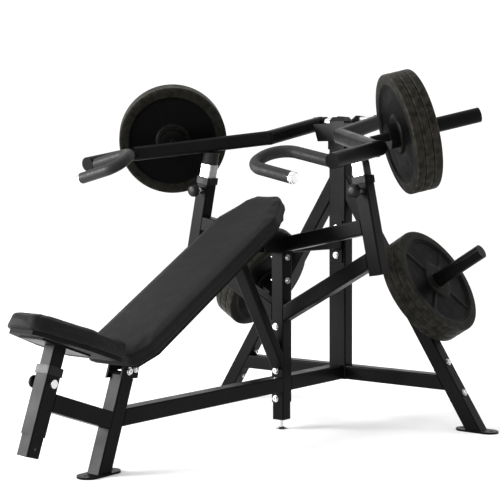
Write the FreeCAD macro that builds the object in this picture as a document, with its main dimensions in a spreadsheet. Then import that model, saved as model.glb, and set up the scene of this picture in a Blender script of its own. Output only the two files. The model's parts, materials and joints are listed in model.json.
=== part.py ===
import FreeCAD, Part
import math
import os
import Sketcher

# Plate-loaded incline chest press.  The origin is the floor point under the middle post, +Z is up,
# -Y is the seat end and +X is the right arm when the user looks out from the back pad.

V = FreeCAD.Vector
UP = V(0, 0, 1)
RIGHT = V(1, 0, 0)
FRONT = V(0, -1, 0)

doc = FreeCAD.newDocument("ChestPress")
sheet = doc.addObject("Spreadsheet::Sheet", "Sizes")

DRIVING_SIZES = [
    # square steel tube
    ("tube", 50), ("wall", 2), ("tube_corner", 5), ("inner_tube", "=B1 - 2 * B2 - 1"), ("plate_steel", 6), ("gusset_steel", 5),
    # base and posts
    ("beam_top", 178), ("column_wide", 70), ("column_front", 332), ("column_top", 1050),
    ("cap_high", 16), ("post_top", 652), ("post_low", 90), ("post_inner_low", 32),
    ("leveller_disc", 40), ("leveller_stem", 10), ("upper_beam_low", 594),
    # front leg, seat link and sleeve
    ("seat_tilt", 19.6), ("front_leg_y", -870), ("front_leg_top", 268), ("link_top", 176.8),
    ("sleeve_ahead", 259), ("sleeve_low", 150), ("sleeve_long", 189), ("seat_post_long", 306),
    ("seat_post_below", 58), ("collar_high", 24), ("collar_proud", 3),
    # feet
    ("foot_long", 150), ("foot_wide", 66), ("foot_thick", 6), ("foot_hole", 11), ("foot_pitch", 106),
    # rear legs and beams
    ("rear_foot_x", 544), ("rear_leg_y", 361), ("leg_splay", 32.2), ("rear_leg_run", 815),
    # plate horns
    ("horn_dia", 48), ("plate_dia", 386), ("plate_thick", 28), ("plate_bore", 51), ("plates", 3),
    ("low_horn_run", 500), ("low_horn_free", 192), ("low_collar", 58),
    ("high_horn_turn", 43.4), ("high_horn_rise", 13.5), ("high_horn_free", 196), ("horn_collar", 80),
    ("horn_neck", 28),
    # uprights that carry the arm rests
    ("upright_x", 325), ("upright_splay", 11.4), ("upright_low", 535), ("upright_high", 850),
    ("rest_show", 46), ("rest_cup", 56), ("rest_cup_high", 44), ("rest_inside", 190), ("rest_top", 934.2),
    ("knob_dia", 46), ("knob_long", 30), ("pin_dia", 10), ("pin_pull", 12), ("barrel_dia", 24),
    # press arms
    ("pivot_x", 132), ("pivot_y", 420), ("pivot_z", 1050), ("bush_dia", 46), ("bush_long", 52),
    ("axle_dia", 25), ("axle_clear", 0.05), ("elbow_x", 150), ("elbow_y", 128), ("elbow_z", 988),
    ("arm_wide", 40), ("arm_high", 50), ("arm_corner", 14), ("barrel_x", 497), ("tip_y", -425),
    ("tip_z", 891), ("press_barrel", 48), ("press_barrel_end_y", -172), ("press_barrel_end_z", 934),
    # handles
    ("grip_dia", 37), ("grip_run", 122), ("grip_bend", 78), ("grip_turn", 42), ("grip_mid", 10),
    ("grip_back", 112), ("grip_rise", 12.7), ("grip_drop", 27.3), ("grip_cap", 14),
    # cushions
    ("seat_front", 150), ("seat_rear", 236), ("seat_long", 318), ("pad_thick", 46),
    ("board_thick", 12), ("back_long", 898), ("back_wide", 256), ("back_thick", 44),
    ("back_low_y", -845), ("back_low_z", 341), ("back_tilt", 30.4), ("back_taper", 143),
    ("back_top_wide", 140), ("back_low_wide", 190), ("back_low_cut", 70),
    ("rail_wide", 50), ("rail_high", 50), ("rail_start", 120), ("rail_stop", 905), ("strut_deep", 30),
    ("hair", 0.3),
    # fasteners
    ("bolt", 10), ("bolt_head", 18), ("bolt_head_high", 6), ("bolt_hole", 10.6), ("washer", 23),
    ("washer_high", 2), ("nut_high", 8), ("bolt_spare", 12),
    # where tubes start and end
    ("link_root_y", -834.5), ("link_middle_z", 618), ("link_side_x", 360), ("link_side_z", 691),
    ("brace_middle_z", 378), ("brace_side_x", 420), ("brace_side_z", 614),
    ("strut_low_y", -62), ("strut_low_z", 290), ("strut_high_y", -211), ("strut_high_z", 530),
    # where the upper horn and the seat cushion sit
    ("ring_x", 450), ("ring_y", -42), ("ring_z", 974), ("ring_to_plates", 22), ("neck_long", 76),
    ("seat_top_y", -857), ("seat_top_z", 381),
    # plates, caps, ears and gussets
    ("plate_hub", 118), ("plate_rim", 32), ("plate_dish", 8), ("flange_high", 150), ("flange_pitch", 98),
    ("head_low", 979), ("head_high", 63), ("head_narrow", 160), ("head_wide", 200), ("cap_slope", 9),
    ("leveller_high", 7), ("leveller_step", 4), ("plug_high", 12), ("ear_steel", 8), ("ring_wall", 6),
    ("bracket_long", 190), ("bracket_wide", 90), ("bracket_steel", 5), ("rail_corner", 3),
    # spring pins
    ("pin_house", 16), ("knob_neck", 8), ("knob_gap", 0.4), ("rest_pin_drop", 48), ("seat_pin_drop", 46),
    ("seat_pin_house", 8), ("seat_knob_neck", 4), ("seat_knob_long", 20), ("seat_knob_dia", 36),
    ("seat_boss_long", 8),
    ("rest_pitch", 50), ("bore_spare", 0.02),
]
for row, (alias, value) in enumerate(DRIVING_SIZES, start=1):
    sheet.set("A%d" % row, alias)
    sheet.set("B%d" % row, str(value))
    sheet.setAlias("B%d" % row, alias)
doc.recompute()


def size(alias):
    return float(getattr(sheet, alias))


def cell(alias):
    return "Sizes." + alias


# ---------------------------------------------------------------- builders

parts = {}


def keep(node, item):
    item.Label = node
    parts[node] = item
    return item


def aim(start, end, side=RIGHT):
    """Placement at start whose Z runs to end and whose X lies as near side as it can."""
    along = (end - start).normalize()
    if abs(along.dot(side)) > 0.99:
        side = UP
    return FreeCAD.Placement(start, FreeCAD.Rotation(side, V(0, 0, 0), along, "ZXY"))


def on_plane(body, sketch, role="XY_Plane"):
    planes = [item for item in body.Origin.OriginFeatures if item.Role == role]
    sketch.AttachmentSupport = (planes[0], "")
    sketch.MapMode = "FlatFace"


def rectangle(sketch, wide, high):
    """A rectangle centred on the sketch's origin, its two sizes bound to the sheet."""
    corners = [V(-10, -10, 0), V(10, -10, 0), V(10, 10, 0), V(-10, 10, 0)]
    for here in range(4):
        sketch.addGeometry(Part.LineSegment(corners[here], corners[(here + 1) % 4]), False)
    for here in range(4):
        sketch.addConstraint(Sketcher.Constraint("Coincident", here, 2, (here + 1) % 4, 1))
    for here in (0, 2):
        sketch.addConstraint(Sketcher.Constraint("Horizontal", here))
        sketch.addConstraint(Sketcher.Constraint("Vertical", here + 1))
    sketch.addConstraint(Sketcher.Constraint("Symmetric", 0, 1, 1, 2, -1, 1))
    across = sketch.addConstraint(Sketcher.Constraint("DistanceX", 0, 1, 0, 2, 20))
    tall = sketch.addConstraint(Sketcher.Constraint("DistanceY", 1, 1, 1, 2, 20))
    sketch.setExpression("Constraints[%d]" % across, wide)
    sketch.setExpression("Constraints[%d]" % tall, high)


def square_tube(name, start, end, wide, high, wall, corner, side=RIGHT):
    """A rounded square tube from start to end; an empty wall makes it a solid bar."""
    body = doc.addObject("PartDesign::Body", name)
    outline = body.newObject("Sketcher::SketchObject", name + "Outline")
    on_plane(body, outline)
    rectangle(outline, wide, high)
    pad = body.newObject("PartDesign::Pad", name + "Pad")
    pad.Profile = outline
    pad.Length = (end - start).Length
    doc.recompute()
    edges = []
    for index, edge in enumerate(pad.Shape.Edges, start=1):
        if abs(edge.tangentAt(edge.FirstParameter).z) > 0.99:
            edges.append("Edge%d" % index)
    fillet = body.newObject("PartDesign::Fillet", name + "Corners")
    fillet.Base = (pad, edges)
    fillet.setExpression("Radius", corner)
    if wall:
        bore = body.newObject("Sketcher::SketchObject", name + "Bore")
        on_plane(body, bore)
        rectangle(bore, "%s - 2 * %s" % (wide, wall), "%s - 2 * %s" % (high, wall))
        pocket = body.newObject("PartDesign::Pocket", name + "Pocket")
        pocket.Profile = bore
        pocket.Type = 1
        pocket.Midplane = True
    body.Placement = aim(start, end, side)
    doc.recompute()
    return body


def cylinder(name, start, end, diameter):
    rod = doc.addObject("Part::Cylinder", name)
    rod.setExpression("Radius", "(" + diameter + ") / 2")
    rod.Height = (end - start).Length
    rod.Placement = aim(start, end)
    return rod


def block(name, start, end, wide, high, side=RIGHT):
    """A plain square bar, used to cope the end of one tube round another."""
    bar = doc.addObject("Part::Box", name)
    bar.setExpression("Length", wide)
    bar.setExpression("Width", high)
    bar.Height = (end - start).Length
    doc.recompute()
    place = aim(start, end, side)
    shift = FreeCAD.Placement(V(-bar.Length.Value / 2, -bar.Width.Value / 2, 0), FreeCAD.Rotation())
    bar.Placement = place.multiply(shift)
    return bar


def cut(name, base, tools):
    result = base
    for count, tool in enumerate(tools):
        step = doc.addObject("Part::Cut", "%sCut%d" % (name, count))
        step.Base = result
        step.Tool = tool
        step.Refine = True
        result = step
    doc.recompute()
    return result


def fuse(name, items):
    joined = doc.addObject("Part::MultiFuse", name)
    joined.Shapes = items
    joined.Refine = True
    doc.recompute()
    return joined


def mirror(name, source):
    """The mirror image across the middle of the machine."""
    twin = doc.addObject("Part::Mirroring", name)
    twin.Source = source
    twin.Normal = RIGHT
    doc.recompute()
    return twin


def both_sides(node, source):
    """The right-hand piece as built, and its mirror image for the left."""
    keep(node + "_right", source)
    keep(node + "_left", mirror(node + "Left", source))


def pair(node, sources, middle=()):
    """Right-hand pieces, their mirror images and any middle ones, as separate solids of one node."""
    items = list(sources) + list(middle)
    for count, source in enumerate(sources):
        items.append(mirror("%sTwin%d" % (node.title().replace("_", ""), count), source))
    group = doc.addObject("Part::Compound", node.title().replace("_", ""))
    group.Links = items
    doc.recompute()
    keep(node, group)


def outline_plate(name, corners, thick, place):
    """A flat plate: a closed sketch through the corners, padded to a bound thickness."""
    body = doc.addObject("PartDesign::Body", name)
    sketch = body.newObject("Sketcher::SketchObject", name + "Outline")
    on_plane(body, sketch)
    count = len(corners)
    for here in range(count):
        first = V(corners[here][0], corners[here][1], 0)
        last = V(corners[(here + 1) % count][0], corners[(here + 1) % count][1], 0)
        sketch.addGeometry(Part.LineSegment(first, last), False)
    for here in range(count):
        sketch.addConstraint(Sketcher.Constraint("Coincident", here, 2, (here + 1) % count, 1))
    pad = body.newObject("PartDesign::Pad", name + "Pad")
    pad.Profile = sketch
    pad.setExpression("Length", thick)
    body.Placement = place
    doc.recompute()
    return body


def tube_ring(name, start, end, outside, inside):
    """A round tube from start to end with the two bound diameters."""
    rod = cylinder(name + "Out", start, end, outside)
    beyond = (end - start).normalize()
    hole = cylinder(name + "In", start - beyond, end + beyond, inside)
    return cut(name, rod, [hole])


SPARE = 60
FAR = 400
FAR_TEXT = "400 mm"
TUBE = cell("tube")
WALL = cell("wall")
CORNER = cell("tube_corner")
STEEL = cell("plate_steel")
half_tube = size("tube") / 2

# ---------------------------------------------------------------- fasteners

bolts = {"bolts_frame": []}
bolt_holes = []


def bolt_set(group, point, out, grip):
    """A socket head bolt with washer and nut; point is under the head, out is away from the steel."""
    radius = size("bolt") / 2
    head_high = size("bolt_head_high")
    washer_high = size("washer_high")
    washer = Part.makeCylinder(size("washer") / 2, washer_high, point, out)
    seat = point + out * washer_high
    head = Part.makeCylinder(size("bolt_head") / 2, head_high, seat, out)
    rim = [edge for edge in head.Edges if edge.Length > 1 and edge.Curve.TypeId == "Part::GeomCircle"]
    far = [edge for edge in rim if (edge.Curve.Center - seat).dot(out) > head_high / 2]
    head = head.makeFillet(2.0, far)
    key = Part.makePolygon(hexagon(seat + out * head_high, out, size("bolt") * 0.35))
    socket = Part.Face(key).extrude(out * (-head_high * 0.6))
    head = head.cut(socket)
    shank = Part.makeCylinder(radius, grip + size("bolt_spare"), point, out * -1)
    nut_face = point - out * grip
    nut_outline = Part.makePolygon(hexagon(nut_face, out, size("bolt") * 0.95))
    nut = Part.Face(nut_outline).extrude(out * -size("nut_high"))
    solid = washer.fuse([head, shank, nut]).removeSplitter()
    bolts[group].append(solid)
    hole = Part.makeCylinder(size("bolt_hole") / 2, grip + 1, point + out * 0.5, out * -1)
    bolt_holes.append(hole)


def hexagon(centre, axis, radius):
    """Seven corners of a closed hexagon round the axis."""
    across = axis.cross(UP)
    if across.Length < 0.1:
        across = axis.cross(RIGHT)
    across.normalize()
    over = axis.cross(across)
    points = []
    for turn in range(7):
        angle = math.radians(60 * turn)
        points.append(centre + across * (radius * math.cos(angle)) + over * (radius * math.sin(angle)))
    return points


# ---------------------------------------------------------------- front leg, link and seat sleeve

tilt = math.radians(size("seat_tilt"))
lean = V(0, math.sin(tilt), math.cos(tilt))
ahead = V(0, -math.cos(tilt), math.sin(tilt))
leg_foot = V(0, size("front_leg_y"), 0)
leg_top = leg_foot + lean * (size("front_leg_top") / math.cos(tilt))
floor_block = doc.addObject("Part::Box", "UnderFloor")
floor_block.Length = FAR * 8
floor_block.Width = FAR * 8
floor_block.Height = FAR
floor_block.Placement.Base = V(-FAR * 4, -FAR * 4, size("foot_thick") - FAR)

front_leg = square_tube("FrontLeg", leg_foot - lean * SPARE, leg_top, TUBE, TUBE, WALL, CORNER)
keep("front_leg", cut("FrontLegFoot", front_leg, [floor_block]))
leg_solid = block("FrontLegSolid", leg_foot - lean * SPARE, leg_top + lean * SPARE, TUBE, TUBE)


def foot_plate(name, centre, turn):
    """A rounded floor plate with a hole at each end, long along the local X."""
    reach = (size("foot_long") - size("foot_wide")) / 2
    slab = doc.addObject("Part::Box", name + "Slab")
    slab.setExpression("Length", cell("foot_long") + " - " + cell("foot_wide"))
    slab.setExpression("Width", cell("foot_wide"))
    slab.setExpression("Height", cell("foot_thick"))
    slab.Placement.Base = V(-reach, -size("foot_wide") / 2, 0)
    ends = []
    holes = []
    for way in (-1, 1):
        end = doc.addObject("Part::Cylinder", name + "End")
        end.setExpression("Radius", cell("foot_wide") + " / 2")
        end.setExpression("Height", cell("foot_thick"))
        end.Placement.Base = V(way * reach, 0, 0)
        ends.append(end)
        hole = doc.addObject("Part::Cylinder", name + "Hole")
        hole.setExpression("Radius", cell("foot_hole") + " / 2")
        hole.setExpression("Height", cell("foot_thick") + " * 3")
        hole.Placement.Base = V(way * size("foot_pitch") / 2, 0, -size("foot_thick"))
        holes.append(hole)
    plate = cut(name, fuse(name + "Whole", [slab] + ends), holes)
    plate.Placement = FreeCAD.Placement(centre, FreeCAD.Rotation(UP, turn))
    return plate


keep("front_foot", foot_plate("FrontFoot", leg_foot, 90))

beam_z = size("beam_top") - half_tube
column_centre_y = size("column_front") + half_tube
beam = square_tube("BaseBeam", V(0, leg_foot.y, beam_z), V(0, size("column_front"), beam_z),
                   TUBE, TUBE, WALL, CORNER)
front_space = block("FrontSpace", leg_foot - lean * SPARE + ahead * 100, leg_top + lean * SPARE + ahead * 100,
                    TUBE, cell("tube") + " * 4")
post_solid = block("PostSolid", V(0, 0, 0), V(0, 0, size("post_top")), TUBE, TUBE)
whole_beam = cut("BaseBeamEnd", beam, [leg_solid, front_space])

link_start = V(0, size("link_root_y"), size("link_top")) - lean * half_tube
link_end = link_start + ahead * (size("sleeve_ahead") + half_tube)
sleeve_axis = link_start + ahead * size("sleeve_ahead")
sleeve_foot = sleeve_axis + lean * ((size("sleeve_low") - sleeve_axis.z) / math.cos(tilt))
sleeve_head = sleeve_foot + lean * size("sleeve_long")
sleeve_solid = block("SleeveSolid", sleeve_foot - lean * SPARE, sleeve_head + lean * SPARE, TUBE, TUBE)
link = square_tube("SeatLink", link_start, link_end, TUBE, TUBE, WALL, CORNER)
keep("seat_link", cut("SeatLinkEnds", link, [leg_solid, sleeve_solid]))
sleeve = square_tube("SeatSleeve", sleeve_foot, sleeve_head, TUBE, TUBE, WALL, CORNER)


def collar(name, foot, head, side):
    """A plastic collar round the mouth of a sleeve, with the sleeve's outside as its bore."""
    proud = cell("tube") + " + 2 * " + cell("collar_proud")
    return square_tube(name, foot, head, proud, proud, cell("collar_proud"), CORNER, side)


seat_collar_foot = sleeve_head - lean * size("collar_high")
seat_collar = collar("SeatCollar", seat_collar_foot, sleeve_head, RIGHT)

# ---------------------------------------------------------------- middle post, column and beams

post = square_tube("MiddlePost", V(0, 0, size("post_low")), V(0, 0, size("post_top")),
                   TUBE, TUBE, WALL, CORNER)
keep("middle_post", post)
keep("base_beam", cut("BaseBeamPost", whole_beam, [post_solid]))
inner_size = cell("inner_tube")
keep("post_foot_tube", square_tube("PostFootTube", V(0, 0, size("post_inner_low")),
                                   V(0, 0, size("beam_top")), inner_size, inner_size,
                                   WALL, CORNER))
stem = cylinder("LevellerStem", V(0, 0, size("leveller_step")), V(0, 0, size("post_low") - size("tube") / 2),
                cell("leveller_stem"))
disc = doc.addObject("Part::Cone", "LevellerDisc")
disc.setExpression("Radius1", cell("leveller_disc") + " / 2")
disc.setExpression("Radius2", cell("leveller_stem") + " / 2 + " + cell("collar_proud"))
disc.setExpression("Height", cell("leveller_high"))
keep("levelling_foot", fuse("Leveller", [stem, disc]))
plug = block("PostPlug", V(0, 0, size("post_inner_low")), V(0, 0, size("post_inner_low") + size("plug_high")),
             inner_size + " - 2 * " + WALL, inner_size + " - 2 * " + WALL)
plug_hole = cylinder("PlugHole", V(0, 0, 0), V(0, 0, size("post_low")),
                     cell("leveller_stem") + " + 2 * " + cell("axle_clear"))
keep("post_end_plug", cut("PostEndPlug", plug, [plug_hole]))

column_low = size("beam_top") - size("tube")
column_wide = cell("column_wide")
keep("column", square_tube("Column", V(0, column_centre_y, column_low),
                           V(0, column_centre_y, size("column_top")), column_wide, TUBE, WALL, CORNER))
column_solid = block("ColumnSolid", V(0, column_centre_y, column_low - SPARE),
                     V(0, column_centre_y, size("column_top") + SPARE), column_wide, TUBE)
cap = doc.addObject("Part::Wedge", "ColumnCap")
half_column = size("column_wide") / 2
cap.Xmin = -half_column
cap.Xmax = half_column
cap.Zmin = -half_tube
cap.Zmax = half_tube
cap.Ymin = 0
cap.Ymax = size("cap_high")
cap.X2min = -half_column + size("cap_slope")
cap.X2max = half_column - size("cap_slope")
cap.Z2min = -half_tube + size("cap_slope")
cap.Z2max = half_tube - size("cap_slope")
cap.Placement = FreeCAD.Placement(V(0, column_centre_y, size("column_top")),
                                  FreeCAD.Rotation(RIGHT, 90))
keep("column_cap", cap)

upper_z = size("upper_beam_low") + half_tube
flange_face = size("column_front") - size("plate_steel")
keep("upper_beam", square_tube("UpperBeam", V(0, half_tube, upper_z), V(0, flange_face, upper_z),
                               TUBE, TUBE, WALL, CORNER))
flange = block("UpperFlange", V(0, flange_face, upper_z), V(0, size("column_front"), upper_z),
               TUBE, cell("flange_high"))
keep("upper_beam_flange", flange)
for way in (-1, 1):
    bolt_set("bolts_frame", V(0, flange_face, upper_z + way * size("flange_pitch") / 2), FRONT,
             size("tube") + size("plate_steel"))

# ---------------------------------------------------------------- rear legs, beams and storage horns

splay = math.radians(size("leg_splay"))
leg_up = V(-math.sin(splay), 0, math.cos(splay))
leg_out = V(math.cos(splay), 0, math.sin(splay))
rear_foot = V(size("rear_foot_x"), size("rear_leg_y"), 0)
rear_head = rear_foot + leg_up * (size("rear_leg_run") + FAR / 2)
rear_leg_solid = block("RearLegSolid", rear_foot - leg_up * SPARE, rear_head, TUBE, TUBE, FRONT)
rear_leg = square_tube("RearLeg", rear_foot - leg_up * SPARE, rear_head, TUBE, TUBE, WALL, CORNER, FRONT)
inside_x = half_column - FAR / 2
centre_block = block("CentreBlock", V(inside_x, column_centre_y, 0), V(inside_x, column_centre_y, FAR * 4),
                     FAR_TEXT, FAR_TEXT)
rear_leg_cut = cut("RearLegTrim", rear_leg, [floor_block, centre_block])

rear_beam = square_tube("RearBeam", V(half_column, size("rear_leg_y"), beam_z),
                        V(size("rear_foot_x"), size("rear_leg_y"), beam_z), TUBE, TUBE, WALL, CORNER, FRONT)
leg_beyond = leg_out * (FAR / 2)
outside = block("OutsideLeg", rear_foot - leg_up * SPARE + leg_beyond, rear_head + leg_beyond,
                TUBE, FAR_TEXT, FRONT)
pair("rear_beams", [cut("RearBeamEnd", rear_beam, [rear_leg_solid, outside])])
pair("rear_feet", [foot_plate("RearFoot", rear_foot, 0)])

low_horn_root = rear_foot + leg_up * size("low_horn_run")
stack = size("plates") * size("plate_thick")
low_seat = low_horn_root + leg_out * size("low_collar")
low_end = low_seat + leg_out * (stack + size("low_horn_free"))
collar_disc = cell("horn_collar")
low_horn = fuse("LowHorn", [
    cylinder("LowHornRod", low_horn_root + leg_out * half_tube, low_end, cell("horn_dia")),
    cylinder("LowHornCollar", low_seat - leg_out * size("plate_dish"), low_seat, collar_disc),
])
pair("storage_horns", [low_horn])


def plate_stack(name, seat, out):
    """Cast plates side by side on a horn: raised rim, sunk web, and a hub round the bore."""
    thick = size("plate_thick")
    hair = size("hair")
    solids = []
    for count in range(int(size("plates"))):
        here = seat + out * (hair + count * thick)
        whole = cylinder("%sDisc%d" % (name, count), here, here + out * (thick - hair),
                         cell("plate_dia"))
        bore = cylinder("%sBore%d" % (name, count), here - out, here + out * thick, cell("plate_bore"))
        tools = [bore]
        for face, inward in ((here + out * (thick - hair), -1), (here, 1)):
            deep = face + out * (inward * size("plate_dish"))
            beyond = face - out * inward
            ring = tube_ring("%sDish%d" % (name, count), beyond, deep,
                             cell("plate_dia") + " - 2 * " + cell("plate_rim"), cell("plate_hub"))
            tools.append(ring)
        solids.append(cut("%sPlate%d" % (name, count), whole, tools))
    return solids


def stack_nodes(node, solids):
    """One stack of loose plates on each side."""
    right = doc.addObject("Part::Compound", node.title().replace("_", "") + "Right")
    right.Links = solids
    doc.recompute()
    both_sides(node, right)


stack_nodes("storage_plates", plate_stack("Low", low_seat, leg_out))

LEG_BOLT_RUNS = (130, 245)
for side in (-1, 1):
    for run in LEG_BOLT_RUNS:
        spot = rear_foot + leg_up * run
        outward = V(side * leg_out.x, 0, leg_out.z)
        bolt_set("bolts_frame", V(side * spot.x, spot.y, spot.z) + outward * half_tube, outward, size("tube"))
pair("rear_legs", [rear_leg_cut])

# ---------------------------------------------------------------- uprights with their rests

rake = math.radians(size("upright_splay"))
rest_up = V(-math.sin(rake), 0, math.cos(rake))
upright_mid = V(size("upright_x"), 0, size("upright_high"))
upright_foot = upright_mid - rest_up * ((size("upright_high") - size("upright_low")) / math.cos(rake))
upright_solid = block("UprightSolid", upright_foot - rest_up * SPARE, upright_mid + rest_up * SPARE,
                      TUBE, TUBE, FRONT)
upright = square_tube("Upright", upright_foot, upright_mid, TUBE, TUBE, WALL, CORNER, FRONT)
rest_collar = collar("RestCollar", upright_mid - rest_up * size("collar_high"), upright_mid, FRONT)
pair("sleeve_collars", [rest_collar], [seat_collar])
post_cheeks = block("PostCheeks", V(0, 0, 0), V(0, 0, size("column_top")),
                    cell("tube") + " + 2 * " + cell("gusset_steel"), FAR_TEXT)
link_low = V(0, 0, size("link_middle_z"))
link_high = V(size("link_side_x"), 0, size("link_side_z"))
upright_link = square_tube("UprightLink", link_low, link_high, TUBE, TUBE, WALL, CORNER, FRONT)
link_beyond = RIGHT * (FAR / 2)
link_outside = block("LinkOutside", upright_foot - rest_up * SPARE + link_beyond,
                     upright_mid + rest_up * SPARE + link_beyond, TUBE, FAR_TEXT, FRONT)
pair("upright_links", [cut("UprightLinkEnd", upright_link, [post_cheeks, upright_solid, link_outside])])
brace_low = V(0, 0, size("brace_middle_z"))
brace_high = V(size("brace_side_x"), 0, size("brace_side_z"))
upright_brace = square_tube("UprightBrace", brace_low, brace_high, TUBE, TUBE, WALL, CORNER, FRONT)
pair("upright_braces", [cut("UprightBraceEnd", upright_brace,
                            [post_solid, upright_solid, link_outside])])

# ---------------------------------------------------------------- spring pins and knobs


def pin_set(name, face, out, house, neck_long, grip_long, grip_dia):
    """A housing welded on a sleeve, and the knob with the pin that slides in it."""
    housing_end = face + out * size(house)
    housing = tube_ring(name + "Housing", face, housing_end, cell("barrel_dia"),
                        cell("pin_dia") + " + 2 * " + cell("hair"))
    pin_start = face - out * size("wall")
    knob_start = housing_end + out * size("knob_gap")
    grip_foot = knob_start + out * size(neck_long)
    pin = cylinder(name + "Pin", pin_start, grip_foot, cell("pin_dia"))
    neck = cylinder(name + "Neck", knob_start, grip_foot, cell("barrel_dia"))
    grip = cylinder(name + "Grip", grip_foot, grip_foot + out * size(grip_long), cell(grip_dia))
    doc.recompute()
    knob = fuse(name + "Knob", [pin, neck, grip])
    hole = cylinder(name + "Drill", face - out * size(house), face + out * size(house),
                    cell("pin_dia") + " + 2 * " + cell("hair"))
    return housing, knob, hole


pin_point = upright_mid - rest_up * size("rest_pin_drop") + FRONT * half_tube
rest_housing, rest_knob, rest_drill = pin_set("RestPin", pin_point, FRONT, "pin_house", "knob_neck",
                                              "knob_long", "knob_dia")
pair("uprights", [cut("UprightDrilled", upright, [rest_drill])])
both_sides("rest_knob", rest_knob)
seat_pin_middle = sleeve_head - lean * size("seat_pin_drop")
seat_housing, seat_knob, seat_drill = pin_set("SeatPin", seat_pin_middle - RIGHT * half_tube, -RIGHT,
                                              "seat_pin_house", "seat_knob_neck", "seat_knob_long",
                                              "seat_knob_dia")
boss_foot = seat_pin_middle + RIGHT * half_tube
seat_boss = cylinder("SeatPinBoss", boss_foot, boss_foot + RIGHT * size("seat_boss_long"), cell("barrel_dia"))
keep("seat_sleeve", cut("SeatSleeveDrilled", sleeve, [seat_drill]))
pair("pin_housings", [rest_housing], [seat_housing, seat_boss])
keep("seat_knob", seat_knob)

rest_post_top = upright_mid + rest_up * size("rest_show")
rest_post = square_tube("RestPost", upright_mid - rest_up * size("rest_inside"), rest_post_top,
                        inner_size, inner_size, WALL, CORNER, FRONT)
rest_holes = []
for step in range(3):
    spot = rest_post_top - rest_up * (2 * size("rest_pin_drop") + step * size("rest_pitch"))
    rest_holes.append(cylinder("RestHole", spot, spot + FRONT * size("tube"), cell("pin_dia") + " + 1"))
both_sides("rest_post", cut("RestPostDrilled", rest_post, rest_holes))
rest_cup = cylinder("RestCup", rest_post_top, rest_post_top + rest_up * size("rest_cup_high"), cell("rest_cup"))
cup_rim = block("CupTrim", V(size("upright_x"), 0, size("rest_top")),
                V(size("upright_x"), 0, size("rest_top") + FAR), FAR_TEXT, FAR_TEXT)
both_sides("rest_cup", cut("RestCupTop", rest_cup, [cup_rim]))

# ---------------------------------------------------------------- head plate, pivot bracket and axle

head_place = FreeCAD.Placement(V(0, size("column_front"), size("head_low")), FreeCAD.Rotation(RIGHT, 90))
head_low_half = size("head_narrow") / 2
head_top_half = size("head_wide") / 2
head_corners = [(-head_low_half, 0), (head_low_half, 0), (head_top_half, size("head_high")),
                (-head_top_half, size("head_high"))]
keep("head_plate", outline_plate("HeadPlate", head_corners, STEEL, head_place))
pivot = V(size("pivot_x"), size("pivot_y"), size("pivot_z"))
ear_front = size("column_front") + size("plate_steel")
EAR_SHAPE = [(-5, -100), (28, -40), (28, 22), (-20, 22)]
ear_corners = [(ear_front, pivot.z + EAR_SHAPE[0][1])]
ear_corners += [(pivot.y + across, pivot.z + up) for across, up in EAR_SHAPE]
ear_corners += [(ear_front, pivot.z - 14)]
ear_place = FreeCAD.Placement(V(half_column, 0, 0), FreeCAD.Rotation(V(0, 1, 0), UP, RIGHT, "ZXY"))
ear = outline_plate("PivotEar", ear_corners, cell("ear_steel"), ear_place)
bush_half = size("bush_long") / 2
axle_half = size("pivot_x") + bush_half + 2 * size("ring_wall")
axle = cylinder("PivotAxle", V(-axle_half, pivot.y, pivot.z), V(axle_half, pivot.y, pivot.z),
                cell("axle_dia"))
axle_bore = cylinder("AxleBore", V(-axle_half, pivot.y, pivot.z), V(axle_half, pivot.y, pivot.z),
                     cell("axle_dia") + " + " + cell("bore_spare"))
pair("pivot_ears", [cut("PivotEarBored", ear, [axle_bore])])
keep("pivot_axle", axle)
ring_outside = cell("axle_dia") + " + 2 * " + cell("ring_wall")
ring_inside = cell("axle_dia") + " + " + cell("bore_spare")
cap_start = pivot + RIGHT * (bush_half + size("hair"))
axle_cap = tube_ring("AxleCap", cap_start, cap_start + RIGHT * size("pin_dia"), ring_outside, ring_inside)
spacer_start = V(half_column + size("ear_steel"), pivot.y, pivot.z)
spacer_end = pivot - RIGHT * (bush_half + size("hair"))
spacer = tube_ring("AxleSpacer", spacer_start, spacer_end, ring_outside, ring_inside)
pair("axle_collars", [axle_cap, spacer])

# ---------------------------------------------------------------- press arms

bush = tube_ring("PivotBush", pivot - RIGHT * bush_half, pivot + RIGHT * bush_half,
                 cell("bush_dia"), cell("axle_dia") + " + 2 * " + cell("axle_clear"))
both_sides("pivot_bush", bush)
bush_solid = cylinder("BushSolid", pivot - RIGHT * bush_half, pivot + RIGHT * bush_half, cell("bush_dia"))
elbow = V(size("elbow_x"), size("elbow_y"), size("elbow_z"))
tip = V(size("barrel_x"), size("tip_y"), size("tip_z"))
barrel_end = V(size("barrel_x"), size("press_barrel_end_y"), size("press_barrel_end_z"))
MEET_SHARE = 0.92
meet = tip + (barrel_end - tip) * MEET_SHARE
arm_wide = cell("arm_wide")
arm_high = cell("arm_high")
arm_corner = cell("arm_corner")


def level_side(start, end):
    """The level direction across a tube that runs from start to end."""
    return (end - start).cross(UP).normalize()


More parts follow.
